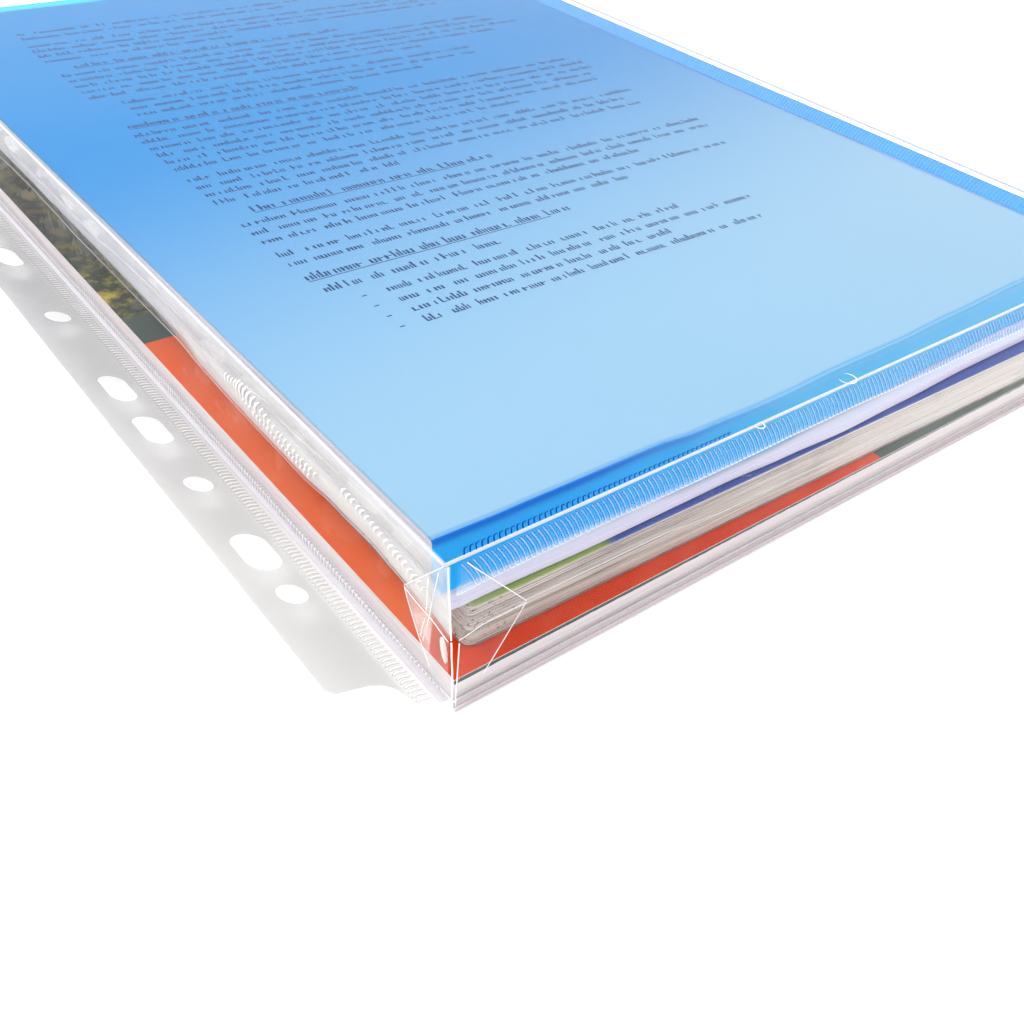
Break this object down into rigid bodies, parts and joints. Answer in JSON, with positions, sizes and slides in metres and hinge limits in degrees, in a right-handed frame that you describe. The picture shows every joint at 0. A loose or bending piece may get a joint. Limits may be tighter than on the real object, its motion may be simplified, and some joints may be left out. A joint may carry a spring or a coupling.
{
  "type": "expanding document pocket",
  "caption": "Clear film pocket with gusset walls and a punched binder strip, filled with a flap folder, a book and a catalogue that slide out of its mouth.",
  "frame": {"origin": "middle of the footprint, on the surface that the pocket lies on", "axes": "+Y up the pocket to its open mouth, +X away from the binder strip, +Z out of the front panel"},
  "size_m": [0.2438, 0.3132, 0.0344],
  "materials": {
    "clear_film": "glossy clear film",
    "frosted_film": "fine embossed film",
    "welded_film": "film with pressed weld ribs",
    "folder_film": "glossy translucent blue",
    "folder_back": "translucent pale blue",
    "white_paper": "uncoated",
    "book_paper": "worn page edges",
    "book_cover": "printed, satin",
    "catalogue_cover": "coated print",
    "catalogue_paper": "trimmed page edges",
    "catalogue_back": "coated print"
  },
  "bodies": {
    "pocket_back": {"back_panel": "clear_film", "back_seam_bottom": "welded_film", "back_seam_right": "welded_film", "left_corner_fold_lower": "welded_film", "right_corner_fold_lower": "welded_film"},
    "binder_strip": {"punched_strip": "frosted_film", "strip_weld_band": "welded_film"},
    "left_gusset_lower": {"left_gusset_lower": "clear_film", "left_foot_weld": "welded_film", "left_tuck_lower": "welded_film"},
    "left_gusset_upper": {"left_gusset_upper": "clear_film", "left_top_weld": "welded_film", "left_tuck_upper": "welded_film"},
    "pocket_front": {"front_panel": "clear_film", "front_seam_left": "welded_film", "front_seam_bottom": "welded_film", "front_seam_right": "welded_film", "left_corner_fold_upper": "welded_film", "right_corner_fold_upper": "welded_film"},
    "right_gusset_lower": {"right_gusset_lower": "clear_film", "right_foot_weld": "welded_film", "right_tuck_lower": "welded_film"},
    "right_gusset_upper": {"right_gusset_upper": "clear_film", "right_top_weld": "welded_film", "right_tuck_upper": "welded_film"},
    "bottom_gusset_lower": {"bottom_gusset_lower": "clear_film", "bottom_foot_weld": "welded_film", "bottom_left_tuck_lower": "welded_film", "bottom_right_tuck_lower": "welded_film"},
    "bottom_gusset_upper": {"bottom_gusset_upper": "clear_film", "bottom_top_weld": "welded_film", "bottom_left_tuck_upper": "welded_film", "bottom_right_tuck_upper": "welded_film"},
    "folder": {"folder_front_cover": "folder_film", "folder_pages": "white_paper", "folder_back_cover": "folder_back"},
    "book": {"book_front_cover": "book_cover", "book_pages": "book_paper", "book_back_cover": "book_cover", "book_spine": "book_cover"},
    "catalogue": {"catalogue_front_cover": "catalogue_cover", "catalogue_pages": "catalogue_paper", "catalogue_back_cover": "catalogue_back", "catalogue_spine": "catalogue_cover"}
  },
  "joints": [
    {"name": "left_gusset_fold", "type": "hinge", "parent": "pocket_back", "child": "left_gusset_lower", "pos_m": [-0.1032, 0.0006, 0.00035], "axis": [0, -1, 0], "range_deg": [0, 10]},
    {"name": "left_gusset_crease", "type": "hinge", "parent": "left_gusset_lower", "child": "left_gusset_upper", "pos_m": [-0.1032, 0.0006, 0.0172], "axis": [0, -1, 0], "range_deg": [-20, 0]},
    {"name": "front_panel_fold", "type": "hinge", "parent": "left_gusset_upper", "child": "pocket_front", "pos_m": [-0.1032, 0.0006, 0.03405], "axis": [0, -1, 0], "range_deg": [0, 10]},
    {"name": "right_gusset_fold", "type": "hinge", "parent": "pocket_back", "child": "right_gusset_lower", "pos_m": [0.1206, 0.0006, 0.00035], "axis": [0, 1, 0], "range_deg": [0, 10]},
    {"name": "right_gusset_top_fold", "type": "hinge", "parent": "pocket_front", "child": "right_gusset_upper", "pos_m": [0.1206, 0.0006, 0.03405], "axis": [0, -1, 0], "range_deg": [0, 10]},
    {"name": "bottom_gusset_fold", "type": "hinge", "parent": "pocket_back", "child": "bottom_gusset_lower", "pos_m": [0.0087, -0.1553, 0.00035], "axis": [1, 0, 0], "range_deg": [0, 10]},
    {"name": "bottom_gusset_top_fold", "type": "hinge", "parent": "pocket_front", "child": "bottom_gusset_upper", "pos_m": [0.0087, -0.1553, 0.03405], "axis": [-1, 0, 0], "range_deg": [0, 10]},
    {"name": "binder_strip_fold", "type": "hinge", "parent": "pocket_back", "child": "binder_strip", "pos_m": [-0.1041, 0.0006, 0.00035], "axis": [0, 1, 0], "range_deg": [-16.3, 50]},
    {"name": "folder_slide", "type": "slide", "parent": "pocket_back", "child": "folder", "axis": [0, 1, 0], "range_m": [0, 0.31]},
    {"name": "book_slide", "type": "slide", "parent": "pocket_back", "child": "book", "axis": [0, 1, 0], "range_m": [0, 0.31]},
    {"name": "catalogue_slide", "type": "slide", "parent": "pocket_back", "child": "catalogue", "axis": [0, 1, 0], "range_m": [0, 0.31]}
  ],
  "couplings": [
    {"joint": "left_gusset_crease", "follows": "left_gusset_fold", "ratio": -2},
    {"joint": "front_panel_fold", "follows": "left_gusset_fold", "ratio": 1},
    {"joint": "right_gusset_fold", "follows": "left_gusset_fold", "ratio": 1},
    {"joint": "right_gusset_top_fold", "follows": "left_gusset_fold", "ratio": 1},
    {"joint": "bottom_gusset_fold", "follows": "left_gusset_fold", "ratio": 1},
    {"joint": "bottom_gusset_top_fold", "follows": "left_gusset_fold", "ratio": 1}
  ]
}
